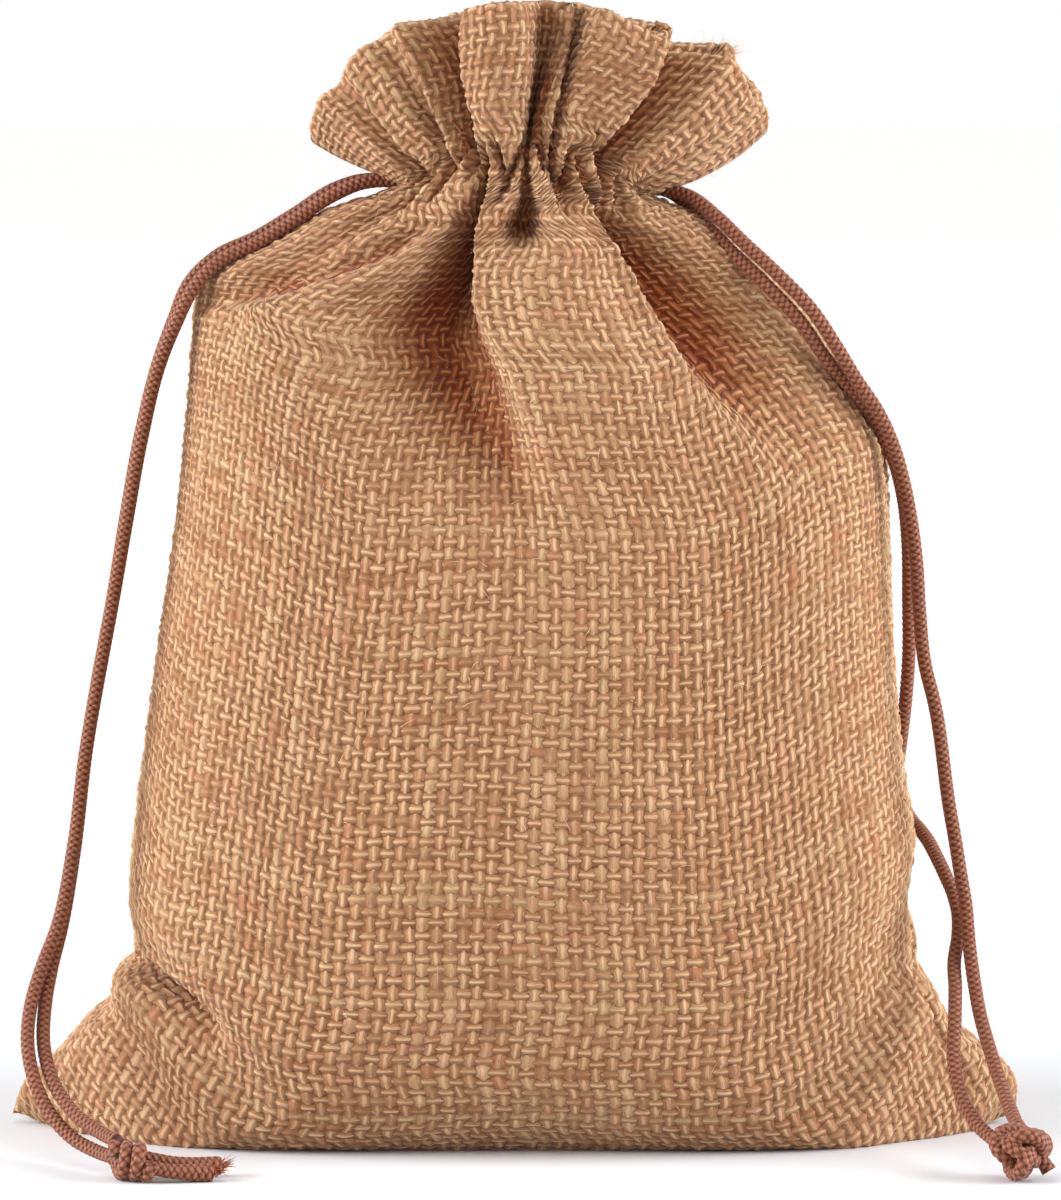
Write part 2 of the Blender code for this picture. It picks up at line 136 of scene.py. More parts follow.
# Folds of the shoulders and valleys of the header, each a line up the cloth.
# v: where, a: angle of the bottom of the fold, wl/wr: its reach to the left
# and right (deg), d: depth, below zero where it swells out.
FOLDS = {FRONT: [   # v, a, wl, wr, d
    # the pocket left of the middle tongue
    [(98, -3, 24, 12, 0), (106, -3, 27, 10, 2), (113, -3, 29, 8, 4.4), (120, -3.5, 31, 7, 7.2),
     (127, -4.5, 31, 6.5, 10.4), (133, -7.5, 28, 6, 12.6), (137.5, -10.5, 21, 5.5, 14),
     (141, -13, 14, 5.5, 16.5), (144, -15, 10, 5, 17.5), (146.5, -16.3, 7.5, 4.6, 16),
     (149, -17, 4.6, 4.2, 11.5), (152, -17.4, 3.8, 3.8, 8), (155, -18, 3.6, 3.6, 3), (158, -18, 4, 4, 0)],
    # the small pit in the tongue
    [(141.4, 5, 9, 9, 0), (143.8, 4.6, 9, 8, 3.6), (146.2, 4, 10, 8, 10), (148.6, 3.2, 7, 6, 8.5),
     (151, 1.6, 3.2, 3.2, 4), (154, 0.8, 3, 3, 0)],
    # the broad valley right of the tongue
    [(97, 55, 12, 18, 0), (106, 53, 13, 20, 1.8), (114, 50, 13, 23, 4.6), (121, 47, 12, 25, 8),
     (127, 44, 10, 26, 10.6), (133, 41.5, 8.5, 24, 12), (139, 38.5, 7, 19, 12), (144, 35, 6, 13, 10.6),
     (148, 31, 5, 7, 7.6), (152, 28, 4, 4.6, 5), (158, 27, 4, 4, 0)],
    # the middle tongue swells out between them
    [(112, 18, 24, 24, 0), (122, 17, 22, 22, -1.2), (133, 14, 20, 20, -2.8), (141, 11, 18, 18, -3.4),
     (147, 9, 16, 16, -2.4), (152, 8, 12, 12, 0)],
    # the left mass swells beside the pocket
    [(112, -44, 20, 20, 0), (126, -42, 20, 18, -1.4), (135, -36, 18, 14, -2.4), (140, -31, 16, 10, -2.4),
     (145, -28, 10, 8, 0)],
    # left shoulder, far side
    [(118, -64, 10, 12, 0), (130, -60, 10, 12, 1.6), (140, -54, 9, 10, 2.8), (147, -50, 7, 7, 2.6),
     (152, -48, 5, 5, 0)],
    # a crease in the right corner
    [(10, 65, 5, 5, 0), (15, 68.5, 3.6, 5, 1.8), (20.5, 72.5, 3.4, 5, 2.6), (26, 77, 3.4, 5, 1.8),
     (31, 80, 4, 4, 0)],
    # header: two creases of the left flap
    [(148, -37, 4, 4, 0), (152.5, -37, 4, 4, 3.6), (158, -38.5, 3.4, 4, 4.2), (166, -42, 3.6, 5, 3),
     (175, -46, 5, 8, 1.6)],
    [(149, -57, 5, 5, 0), (154, -57, 4, 4, 3.2), (163, -59, 3.6, 6, 3.2), (175, -66, 7, 9, 1.2)],
    # header: the valley left of the middle flap
    [(151.5, -24, 4, 4, 0), (154.5, -24, 5, 4, 3.4), (158, -24.5, 8, 3.6, 6.2), (162, -25.5, 12, 4, 7.6),
     (168, -27, 14, 5, 7), (175, -26, 14, 7, 5)],
    # header: the middle flap swells out
    [(153, -12, 8, 8, 0), (162, -11, 11, 10, -1.6), (175, -10, 12, 10, -2)],
    # header: the deep valley in the middle
    [(150, 1, 4, 4, 0), (153, 0.8, 3.4, 3.4, 3), (156.5, 1.6, 3.8, 4.2, 4.6), (160, 2.8, 4.6, 5.6, 5.6),
     (165, 3.4, 5.6, 7.6, 6), (170, 2.6, 6.6, 9.4, 5.6), (175, 1.6, 7.4, 10.6, 5)],
    # header: the slit beside it
    [(147, 14.5, 3.4, 3.4, 0), (152, 14.5, 3.4, 3.4, 4), (157, 13.6, 3.6, 3.2, 5), (163, 12.8, 3.2, 3, 4.6),
     (170, 12.2, 3.2, 3.2, 4.2), (175, 11.6, 3.4, 3.4, 3.4)],
    # header: the wide valley beside the right flap
    [(146, 37, 4, 4, 0), (151, 37.5, 4.6, 4.6, 5.4), (155, 38.4, 5.2, 6, 9), (160, 40, 6, 9, 12),
     (166, 41.5, 7.4, 12, 12.6), (170, 42, 8, 13, 12.6), (175, 42.5, 9, 13, 11)],
    # header: a crease of the right flap
    [(149, 57, 4, 4, 0), (154.5, 58, 4, 5, 4), (160, 61, 4, 7, 2.4), (168, 66, 5, 8, 0.8),
     (175, 70, 6, 10, 0.4)],
], BACK: [   # v, a, wl, wr, d
    # three folds of the shoulders
    [(112, -42, 20, 18, 0), (128, -40, 18, 14, 5), (139, -39, 15, 10, 7.6), (147, -38, 10, 7, 6.6),
     (156, -38, 5, 5, 0)],
    [(114, -8, 18, 18, 0), (128, -7, 12, 18, 4.2), (140, -5, 9, 14, 7.4), (148, -4, 6, 8, 6.4),
     (156, -4, 4, 5, 0)],
    [(112, 24, 18, 20, 0), (128, 25, 16, 14, 5), (140, 26, 12, 10, 7.8), (148, 27, 7, 6, 6.2),
     (156, 27, 4, 4, 0)],
    # the outer shoulders swell under the cords
    [(116, 70, 14, 14, 0), (127, 69, 14, 14, -1.3), (135, 67, 16, 14, -2.2), (142, 66, 16, 14, -2.4),
     (148, 64, 14, 12, -1.6), (152.5, 62, 10, 10, 0)],
    [(116, -70, 14, 14, 0), (127, -69, 14, 14, -0.8), (135, -67, 14, 16, -1.4), (142, -66, 14, 16, -1.4),
     (148, -64, 12, 14, -0.8), (152.5, -62, 10, 10, 0)],
    # seven valleys of the header
    [(149, -64, 5, 5, 0), (154.5, -64, 6, 6, 2.8), (175, -66, 9, 9, 1.8)],
    [(148, -43, 5, 5, 0), (154, -42, 6, 5, 5.2), (163, -40, 8, 7, 8), (175, -38, 10, 9, 8.6)],
    [(148, -20, 4, 4, 0), (154, -19, 5, 5, 4.4), (175, -16, 7, 6, 4.4)],
    [(148, 1, 4, 4, 0), (154, 1, 5, 5, 5.4), (163, 2.5, 6, 6, 8), (175, 4, 8, 7, 8.4)],
    [(148, 22, 4, 4, 0), (154, 22, 5, 5, 4.4), (175, 25, 6, 7, 4)],
    [(148, 44, 5, 5, 0), (154, 44, 6, 6, 5.2), (163, 45, 8, 8, 7.4), (175, 46, 10, 10, 8)],
    [(149, 66, 5, 5, 0), (154, 66, 6, 6, 2.6), (175, 68, 9, 9, 1.6)],
]}

# Tight gathers of the casing, between the valleys.  a: angle, w: half
# width, depth, mid: height of the middle, low/high: reach, lean: deg per mm
PLEATS = {FRONT: [   # a, w, depth, mid, low, high, lean
    (-79, 4, 1.3, 154.5, 9, 5, 0.3), (-71, 4, 2.2, 153, 7, 5, 0.5),
    (-50, 4.6, 3.4, 154, 12, 9, -0.7), (-43, 3, 2, 156, 6, 4, 0.8),
    (-31, 3.4, 2.4, 156, 4, 5, 0.9), (-11, 3.2, 2.8, 155, 4, 4, -0.8),
    (-5, 3.2, 3.6, 153.5, 5, 7, 0.9), (8, 3.4, 3.8, 156, 4, 6, -0.7),
    (21, 4, 4.4, 154, 7, 4, 0.6), (33, 2.6, 2.6, 157, 5, 4, -0.9),
    (46, 4, 3.6, 153, 10, 5, 0.8), (66, 4.6, 2.8, 154.5, 9, 8, 0.4),
    (75, 4, 1.8, 153, 8, 5, 0),
], BACK: [
    (-76, 4, 1.6, 154.5, 9, 6, 0), (-54, 4.4, 3.2, 153.5, 11, 7, 0.6),
    (-31, 4.2, 4.2, 155, 8, 7, -0.6), (-11, 4.2, 3.8, 153.5, 8, 5, 0.7),
    (11.5, 4.2, 4, 155, 9, 6, -0.5), (33, 4.2, 4.2, 154, 8, 8, 0.6),
    (55, 4.4, 3, 154.5, 11, 7, -0.4), (76, 4, 1.6, 154.5, 9, 5, 0),
]}

# Creases that run across the cloth.  a: angle, v: bottom of the crease,
# up/down: how far it reaches above and below, d: depth
ACROSS = {FRONT: [   # a, v, up, down, d
    # over the left shoulder
    [(-82, 126, 4, 4, 0), (-64, 128.5, 6, 3, 3), (-45, 135, 7, 3, 4.6), (-36, 141, 6, 3, 4.2),
     (-30, 143, 5, 3, 2.2), (-24, 144.5, 4, 3, 0)],
    # the tuck at the left corner
    [(-86, 30.6, 3, 2.2, 0.8), (-72.5, 30, 2.8, 1.7, 3.4), (-60, 30, 2.6, 1.5, 4.8),
     (-50, 31.2, 2.8, 1.8, 3.2), (-40, 33, 4, 3, 0)],
    # the right corner
    [(50, 34, 6, 6, 0), (66, 33, 6, 5, 1.8), (84, 32, 5, 5, 0.6)],
], BACK: [   # a, v, up, down, d
    # the left corner
    [(-84, 32, 5, 5, 0.4), (-62, 33, 6, 6, 2.4), (-40, 34, 7, 7, 0)],
    # the right corner
    [(40, 33, 7, 6, 0), (62, 31, 6, 6, 2.2), (84, 31, 5, 5, 0.4)],
]}

# A lip of the front that hangs out over a fold: its angle and height, its
# reach to the left and right and below and above, and how far it stands out.
LIP = 44.0, 165.0, 22.0, 14.0, 9.0, 12.0, 1.0

# How far the top edge stands over (+) or under (-) its even curve.
EDGE = {FRONT: [(-42, 16, 1.2), (33, 22, -2.2), (68, 14, -1.6)],      # a, w, up
        BACK: [(-40, 20, -0.6), (4, 18, -1), (62, 20, 2.2)]}

# ---- the cords (mm)
BRAID_WIDE = 1.72     # the braid's threads stand a little proud of the CAD cord
STRANDS = 4           # facets of the braid around a cord, each way
FACET = 0.84          # length of a facet along it
FACET_STEPS = 5       # mesh steps a facet, each way
BRAID_SWAY, BRAID_ROUND = 0.07, 0.16      # relief of a facet
# Points of each cord.  The first lies a little way inside the casing, the
# second is where the cord comes out.
CORDS = {"cord_left_a": [
    (-12.6, -1, 121.4), (-16.2, -1.3, 121.9), (-19, -1.9, 121.6), (-22.4, -2.6, 120.2),
    (-27.6, -3.4, 116.9), (-32.3, -4.4, 114), (-37, -5.6, 111.8), (-40.3, -6.4, 108.4),
    (-42.6, -6.4, 103.9), (-44.5, -6.4, 99.3), (-47, -6.6, 89.4), (-48.9, -7, 79.1), (-50.7, -7.7, 68.8),
    (-52.6, -8.9, 58.5), (-54.1, -10.3, 49.7), (-55.6, -13, 37.3), (-57.5, -16, 27.7), (-59.3, -18, 22.9),
    (-60.5, -20, 18.6), (-60.8, -22.5, 14.5), (-60, -25.2, 10.6), (-57.8, -28.4, 6.4), (-54.6, -31.8, 3.6),
    (-51.2, -35.6, 2.5), (-48.9, -39.1, 2.4),
], "cord_left_b": [
    (-12.6, 0.8, 121.4), (-16.2, 1.1, 121.9), (-19, 0.7, 121.9), (-22.4, -0.3, 120.9), (-27.7, -1.3, 117.6),
    (-32.7, -2.2, 114.6), (-37.4, -3.3, 112.4), (-41, -4.3, 108.9), (-43, -4.4, 104.2), (-44.8, -4.4, 99.3),
    (-47.3, -4.6, 89.4), (-49.2, -5, 79), (-50.9, -5.7, 68.6), (-52.8, -6.9, 58.3), (-54.2, -8.3, 49.5),
    (-55.6, -11, 37), (-57.1, -13.9, 27.4), (-58.2, -16.3, 22.6), (-58.8, -18.8, 18.6), (-58.8, -22, 13.7),
    (-57.4, -25.7, 9.7), (-54.3, -30.2, 6.3), (-50.6, -35.2, 4.7), (-48.5, -39, 4.4),
], "cord_right_a": [
    (16.4, -0.4, 121), (19.9, -1.4, 120.7), (22.6, -3, 120), (26.4, -6.2, 117.2), (29.4, -8.6, 114.3),
    (33.5, -10.8, 110.5), (38.1, -11.8, 105.7), (41, -11.6, 101.4), (43.7, -11.1, 97), (46.7, -10.3, 92.5),
    (48.7, -9.6, 88), (50, -9.2, 83.4), (50.9, -9, 78.8), (51.6, -8.9, 73.6), (52, -9, 67.5),
    (52.7, -9.4, 60.7), (53.9, -10.2, 55.7), (55.8, -12, 42.4), (56.6, -12.4, 37.8), (57.2, -12.8, 34),
    (57.8, -13.6, 30.3), (58.1, -15.2, 26), (58.6, -17.8, 21.3), (59.2, -20.8, 17.3), (60.2, -24.6, 13.4),
    (61.2, -29.2, 10), (62.2, -34.6, 7.2), (62.6, -37.7, 6.2),
], "cord_right_b": [
    (16.4, 1.4, 121), (19.9, 1, 120.6), (22.2, -0.6, 119.2), (24.6, -4.2, 116.6), (28.1, -8, 112.9),
    (32.1, -10.4, 109.1), (36.6, -11.3, 104.3), (39.6, -10.6, 100), (43, -9.2, 96), (46.4, -7.8, 91.6),
    (48.7, -5.8, 86.8), (50.2, -3.2, 81.5), (51, -0.6, 75.5), (51.3, 2.2, 68), (51.5, 4.4, 61),
    (51.3, 6.8, 54.8), (50.9, 9.6, 49.2), (50.6, 11.3, 45.8), (50.5, 11.9, 42.8), (51.2, 11, 40.2),
    (52.1, 8.6, 38.6), (53.1, 5.2, 37.6), (54, 1.5, 36.5), (54.8, -2.6, 35), (55.7, -6.5, 33.1),
    (56.6, -9.6, 30.8), (57, -11.7, 28.6), (56.9, -12.9, 26.2), (56.3, -15, 23.4), (56.2, -18.4, 20.4),
    (55.9, -22.2, 16.6), (55.6, -25.4, 12.3), (56.2, -28.8, 8.6), (58.2, -33.5, 5.3), (60, -37.1, 4.1),
]}

# The right knot is wound on a ball, and POLE is the axis of its loops.
BALL, POLE = (62.7, -41.6, 3.85), (-0.35, -1.0, 0.10)
BALL_RADIUS, BALL_WAVE, BALL_RISE, BALL_SPIN = 2.25, 0.72, 44.0, 0.4    # rise in deg, spin in rad
LOOP_SHIFT = 1.05     # between neighbouring loops, along the pole

TAIL_ENDS = [
    # end of a tail,       the way it points, hairs
    ((-35.8, -39.2, 1.4),  (0.95, 0.30, 0.0), 90),
    ((-36.6, -42.4, 1.15), (0.97, 0.22, 0.0), 80),
]
FIBRES_CLEAR = 3.2    # stray fibres start at least this far above the floor


# ---- plain functions
def ease(s):
    return s * s * (3 - 2 * s)


def smooth(a, b, x):
    """0 to 1, smoothly, as x goes from a to b."""
    return ease(np.clip((x - a) / (b - a), 0.0, 1.0))


def bell(x):
    """1 at 0, falling smoothly to 0 at +-1."""
    x = np.clip(np.abs(x), 0.0, 1.0)
    return (1 - x * x) ** 2


def uneven_bell(x, low, high):
    """A bell that reaches low on its left and high on its right."""
    return bell(np.where(x < 0, x / low, x / high))


def unit(vectors):
    return vectors / np.maximum(np.linalg.norm(vectors, axis=-1, keepdims=True), 1e-9)


def run_along(points):
    """How far along a line, or along each line of a grid, its points lie."""
    steps = np.linalg.norm(np.diff(points, axis=0), axis=-1)
    return np.concatenate([np.zeros_like(steps[:1]), np.cumsum(steps, axis=0)])


def calm_slopes(xs, ys):
    """Slopes that keep a curve from overshooting its table."""
    h = np.diff(xs)
    d = np.diff(ys) / h
    slopes = np.empty_like(ys)
    slopes[0], slopes[-1] = d[0], d[-1]
    w1, w2 = 2 * h[1:] + h[:-1], h[1:] + 2 * h[:-1]
    with np.errstate(divide="ignore", invalid="ignore"):
        mean = (w1 + w2) / (w1 / d[:-1] + w2 / d[1:])
    slopes[1:-1] = np.where(d[:-1] * d[1:] > 0, mean, 0.0)
    return slopes


def curve(xs, ys, slopes, x):
    """The smooth curve through a table that has the given slopes, read at x."""
    i = np.clip(np.searchsorted(xs, x) - 1, 0, len(xs) - 2)
    h = xs[i + 1] - xs[i]
    s = (x - xs[i]) / h
    return ((2 * s ** 3 - 3 * s ** 2 + 1) * ys[i]
            + (s ** 3 - 2 * s ** 2 + s) * h * slopes[i]
            + (-2 * s ** 3 + 3 * s ** 2) * ys[i + 1]
            + (s ** 3 - s ** 2) * h * slopes[i + 1])


def value_noise(x, y, seed):
    """Smooth seeded noise of two coordinates, -1 to 1."""
    table = np.random.default_rng(seed).uniform(-1, 1, (256, 256))
    i, j = np.floor(x).astype(int), np.floor(y).astype(int)
    s, t = ease(x - i), ease(y - j)

    def at(p, q):
        return table[p % 256, q % 256]

    low = at(i, j) * (1 - s) + at(i + 1, j) * s
    high = at(i, j + 1) * (1 - s) + at(i + 1, j + 1) * s
    return low * (1 - t) + high * t


def crossing(u, v):
    """Numbers of the two yarns at a place, how far it is from the middle of
    each, and 1 where the first lies over the second, -1 where it lies under."""
    i, j = np.floor(u).astype(int), np.floor(v).astype(int)
    return i, j, u - i - 0.5, v - j - 0.5, 1 - 2 * ((i + j) % 2)


def add_object(name, data, at=(0, 0, 0), target=None):
    """A new object in the scene, turned to face the target if there is one."""
    obj = bpy.data.objects.new(name, data)
    bpy.context.scene.collection.objects.link(obj)
    obj.location = at
    if target is not None:
        way = Vector(target) - obj.location
        obj.rotation_euler = way.to_track_quat("-Z", "Y").to_euler()
    return obj


def add_mesh(name, points, faces, uv=None):
    """A smooth mesh object; points in mm, uv for each corner of each face."""
    mesh = bpy.data.meshes.new(name)
    mesh.from_pydata((np.asarray(points) * MM).tolist(), [], faces)
    if uv is not None:
        corners = np.asarray(uv, np.float32).ravel()
        mesh.uv_layers.new(name="weave").data.foreach_set("uv", corners)
    mesh.polygons.foreach_set("use_smooth", np.ones(len(mesh.polygons), bool))
    return add_object(name, mesh)


# ---- the cloth
def dense(rows, step=0.25):
    """A table's columns read at even steps of its first column."""
    first, *others = np.array(rows, float).T
    at = np.arange(first[0], first[-1] + step / 2, step)
    return [at] + [curve(first, c, calm_slopes(first, c), at) for c in others]


RING_TABLE = dense(SECTIONS)
FOLD_TABLES = {side: [dense(rows) for rows in folds] for side, folds in FOLDS.items()}
ACROSS_TABLES = {side: [dense(rows) for rows in folds] for side, folds in ACROSS.items()}


def sunk(side, a, v):
    """How deep (mm) the folds lie at places of a panel."""
    inward = np.zeros(np.shape(a))
    for at, mid, left, right, depth in FOLD_TABLES[side]:
        here = (v >= at[0]) * np.interp(v, at, depth) * (v <= at[-1] + 0.01)
        inward += here * uneven_bell(a - np.interp(v, at, mid),
                                     np.interp(v, at, left), np.interp(v, at, right))
    for middle, w, depth, mid, low, high, lean in PLEATS[side]:
        reach = smooth(mid - low, mid - 0.2 * low, v) * smooth(mid + high, mid + 0.2 * high, v)
        inward += depth * reach * bell((a - middle - lean * (v - mid)) / w)
    for at, mid, above, below, depth in ACROSS_TABLES[side]:
        here = (a >= at[0]) * np.interp(a, at, depth) * (a <= at[-1])
        inward += here * uneven_bell(v - np.interp(a, at, mid),
                                     np.interp(a, at, below), np.interp(a, at, above))
    pucker = value_noise((a + 200) / 4.2, v / 2.3, SEED + 40 + side)
    return inward + PUCKER * pucker * bell((v - 152.5) / 7.5) * bell(a / 92)


def pouch(side, a, v):
    """Points (mm) of a panel at angles a (deg) and distances v up the cloth."""
    a, v = np.broadcast_arrays(np.asarray(a, float), np.asarray(v, float))
    under = np.clip((v - V_FOLD) / -V_FOLD, 0, 1)  # the lowest ring closes to the fold
    v = np.maximum(v, 0.0)
    at, *columns = RING_TABLE
    xl, xr, zl, zr, zc, yf, yb, n, g = [np.interp(v, at, c) for c in columns]
    t = np.radians(a)
    sn, cs = np.sin(t), np.abs(np.cos(t))
    sx = np.sign(sn) * np.abs(sn) ** (2.0 / n)
    # the ends rise or sink smoothly from g on, and along an arc in the header
    header = smooth(V_NECK, V_TOP, v)
    lift = smooth(g, 1.0, np.abs(sx))
    lift = lift * (1 - header) + (1 - np.sqrt(np.clip(1 - sx * sx, 0, 1))) * header
    xm = (xr + xl) / 2
    x = xm + (xr - xl) / 2 * sx
    y = side * (yf if side == FRONT else yb) * under * cs ** (2.0 / n)
    z = zc + (np.where(sn < 0, zl, zr) - zc) * lift

    inward = sunk(side, a, v)
    r = np.hypot(x - xm, y)
    move = -np.minimum(inward, DEEPEST * r)
    if side == FRONT:
        up, at_x, wide, at_v, tall = FOOT_LIFT
        z = z + up * np.exp(-((x - at_x) / wide) ** 2) * bell((v - at_v) / tall)
        middle, mid, left, right, low, high, out = LIP
        move = move + out * (uneven_bell(a - middle, left, right) * uneven_bell(v - mid, low, high))
    for middle, w, up in EDGE[side]:
        z = z + up * header * bell((a - middle) / w)
    shrink = 1 + move / np.maximum(r, 0.5)
    return np.stack([xm + (x - xm) * shrink, y * shrink, np.maximum(z, 0.0)], -1)


def smooth_rows(points, times):
    """Even out a grid along its rows, ends held."""
    for _ in range(times):
        points[:, 1:-1] += 0.5 * ((points[:, :-2] + points[:, 2:]) / 2 - points[:, 1:-1])
    return points


def even_angles(side, vs, count):
    """Angles that part the cloth into count even steps at each height."""
    fine = np.linspace(-90.0, 90.0, 1441)
    share = np.linspace(0.0, 1.0, count + 1)
    rows = []
    for v in vs:
        run = run_along(pouch(side, fine, v))
        rows.append(np.interp(share * run[-1], run, fine))
    kernel = np.hanning(11)
    kernel /= kernel.sum()
    pad = np.pad(np.array(rows), ((5, 5), (0, 0)), mode="edge")
    return sum(k * pad[i:i + len(rows)] for i, k in enumerate(kernel))


def even_places(side):
    """Angles and heights of a panel's grid, its yarns evenly spaced.

    Across they are even at every height.  Upward they are even from the fold
    to EVEN_TO, where the cloth spreads over the floor, and as they are above.
    """
    base = V_FOLD + np.linspace(0, WEFTS, WEFTS * PER + 1) * PITCH
    angles = even_angles(side, base, WARPS * PER)
    low = base <= EVEN_TO
    v = np.broadcast_to(base[:, None], angles.shape).copy()
    a = angles.copy()
    share = np.linspace(0, 1, low.sum())
    for _ in range(2):
        run = run_along(pouch(side, a[low], v[low]))
        even = np.stack([np.interp(share * r[-1], r, h) for r, h in zip(run.T, v[low].T)], 1)
        v[low] = smooth_rows(even, 30)
        a = np.stack([np.interp(h, base, c) for h, c in zip(v.T, angles.T)], 1)
    return a, v


def normals_of(points):
    """Unit normals of a grid of points, by rows (up) and columns (across)."""
    return unit(np.cross(np.gradient(points, axis=1), np.gradient(points, axis=0)))


def flat_wave(c):
    """A cosine's value with its crests flattened."""
    return c * (1.5 - 0.5 * c * c)


def peak(t):
    """Cross section of a fuzzy yarn: a crest at 0 and nothing at +-1."""
    return 1 - np.clip(np.abs(t), 0, 1) ** 1.4


def weave_height(u, v, seed):
    """Height (mm) of a plain weave, u and v counted in yarns."""
    rng = np.random.default_rng(seed)
    i, j, fu, fv, over = crossing(u, v)
    each = rng.uniform(0.75, 1.25, (512, 512))[i % 512, j % 512]
    loft_w = rng.uniform(0.8, 1.2, 512)[i % 512] * each
    loft_f = rng.uniform(0.8, 1.2, 512)[j % 512] * each
    hw = SWAY * flat_wave(np.cos(np.pi * fv)) * over + ROUND * loft_w * peak(fu / HALF_YARN)
    hf = -SWAY * flat_wave(np.cos(np.pi * fu)) * over + ROUND * loft_f * peak(fv / HALF_YARN)
    return np.maximum(np.maximum(hw, hf), GAP)


def weave_uv(side, u, v):
    """Yarn counts for the material, which draws other yarns for the back."""
    return np.stack([u - OFF_GAPS + (OTHER_YARNS if side == BACK else 0.0), v - OFF_GAPS], -1)


def grid_mesh(name, points, uv, deep, flip):
    """A mesh object from a grid of points (mm), uv map weave, attribute deep, the share of painted shade.
    """
    at = np.arange(deep.size).reshape(deep.shape)
    quads = np.stack([at[:-1, :-1], at[:-1, 1:], at[1:, 1:], at[1:, :-1]], -1).reshape(-1, 4)
    if flip:
        quads = quads[:, ::-1]
    corners = uv.reshape(-1, 2)[quads.ravel()]
    obj = add_mesh(name, points.reshape(-1, 3), quads.tolist(), corners)
    folds = obj.data.attributes.new("deep", "FLOAT", "POINT")
    folds.data.foreach_set("value", deep.astype(np.float32).ravel())
    return obj


@functools.cache
def panel(side):
    """Grid of a panel (mm, before relief): points, outward normals, yarn
    counts and the share of painted shade at each point (0 to 1), from how deep in a fold it lies."""
    angles, heights = even_places(side)
    u, v = np.meshgrid(np.linspace(0, WARPS, WARPS * PER + 1), np.linspace(0, WEFTS, WEFTS * PER + 1))
    inner = bell((u / WARPS - 0.5) * 2) * bell((v / WEFTS - 0.5) * 2) ** 0.5
    warp, weft = np.floor(u - OFF_GAPS), np.floor(v - OFF_GAPS)
    drift = DRIFT * value_noise(u / 9, v / 30, SEED + side) * inner
    drift += JITTER * value_noise(17 * warp, v / 7, SEED + 11 + side) * inner
    sag = SAG * value_noise(u / 30, v / 9, SEED + 5 + side) * inner
    sag += JITTER * value_noise(17 * weft, u / 7, SEED + 13 + side) * inner
    cols = np.arange(WARPS * PER + 1)
    a = np.stack([np.interp(cols + PER * d, cols, row) for d, row in zip(drift, angles)])
    height = heights + sag * PITCH
    points = pouch(side, a, height)
    # painted shade: the deeper in a fold, the darker the colour, a little less in the header
    deep = smooth(1.0, 8.5, sunk(side, a, height)) * (1 - 0.10 * smooth(V_NECK, V_TOP, height))
    return points, -side * normals_of(points), u, v, deep


def cloth(side, name):
    """The outer face of a panel, with the relief of its weave."""
    points, normals, u, v, deep = panel(side)
    # the relief fades at the seams, the fold and the top edge
    rim = np.minimum(np.minimum(u, WARPS - u), v / 2.0).clip(0, 1)
    top = ((WEFTS - v) / 0.7).clip(0, 1)
    lumps = LUMPS * value_noise(u / 15, v / 15, SEED + 9 + side)
    lumps *= bell((u / WARPS - 0.5) * 2) * bell((v / WEFTS - 0.45) * 1.9)
    height = (weave_height(u - OFF_GAPS, v - OFF_GAPS, SEED + side) - SINK) * rim * top + lumps
    points = points + normals * height[..., None]
    points[..., 2] = np.maximum(points[..., 2], 0.02)
    return grid_mesh(name, points, weave_uv(side, u, v), deep, flip=side == BACK)


def hem(side, name):
    """The turned top edge and the fine part of the inner face below it."""
    points, normals, u, _, _ = panel(side)
    up, out = unit(points[-1] - points[-2]), normals[-1]
    rows, vs = [], []
    for k in range(HEM_STEPS + 1):
        t = math.pi * k / HEM_STEPS
        rows.append(points[-1] - HEM * out + HEM * (out * math.cos(t) + up * math.sin(t)))
        vs.append(WEFTS + t * HEM / PITCH)
    for k in range(1, int(HEM_DOWN / PITCH * PER) + 1):
        rows.append(points[-1 - k] - 2 * HEM * normals[-1 - k])
        vs.append(vs[HEM_STEPS] + k / PER)
    rows = np.array(rows)
    rows[HEM_STEPS:] = smooth_rows(rows[HEM_STEPS:].copy(), 14)
    u, v = np.meshgrid(u[0], vs)
    height = weave_height(u - OFF_GAPS, v - OFF_GAPS, SEED + 20 + side) - SINK
    height *= np.minimum(u, WARPS - u).clip(0, 1) * ((v - WEFTS) / 0.7).clip(0, 1)
    rows = rows - side * normals_of(rows) * height[..., None]
    # painted shade on the part of the hem that turns down inside the cloth
    deep = 0.8 * smooth(WEFTS + 2, WEFTS + 9, v)
    return grid_mesh(name, rows, weave_uv(side, u, v), deep, flip=side == BACK)


def inside(side, name):
    """The inner face of the cloth, from under the hem down to the fold."""
    points, normals, u, v, _ = panel(side)
    last = len(points) - 1 - int((HEM_DOWN - HEM_LAP) / PITCH * PER)
    keep = np.ix_(np.unique([*range(0, last, PER), last]), range(0, points.shape[1], 2 * PER))
    inner = smooth_rows(points[keep] - THICK * normals[keep], 4)
    inner[..., 2] = np.maximum(inner[..., 2], THICK)
    uv = np.stack([u[keep] + 2 * OTHER_YARNS, v[keep]], -1)
    # painted shade over the whole inner face, deep 0.8
    return grid_mesh(name, inner, uv, np.full(u[keep].shape, 0.8), flip=side == FRONT)


# ---- the cords
def spaced(points, step):
    """Points every step along a smooth line through the given points."""
    pts = np.array(points, float)
    run = run_along(pts)
    at = np.linspace(0, run[-1], 2000)
    fine = np.stack([curve(run, c, np.gradient(c, run), at) for c in pts.T], 1)
    run = run_along(fine)
    at = np.linspace(0, run[-1], max(int(run[-1] / step), 2) + 1)
    return np.stack([np.interp(at, run, c) for c in fine.T], 1), run[-1]


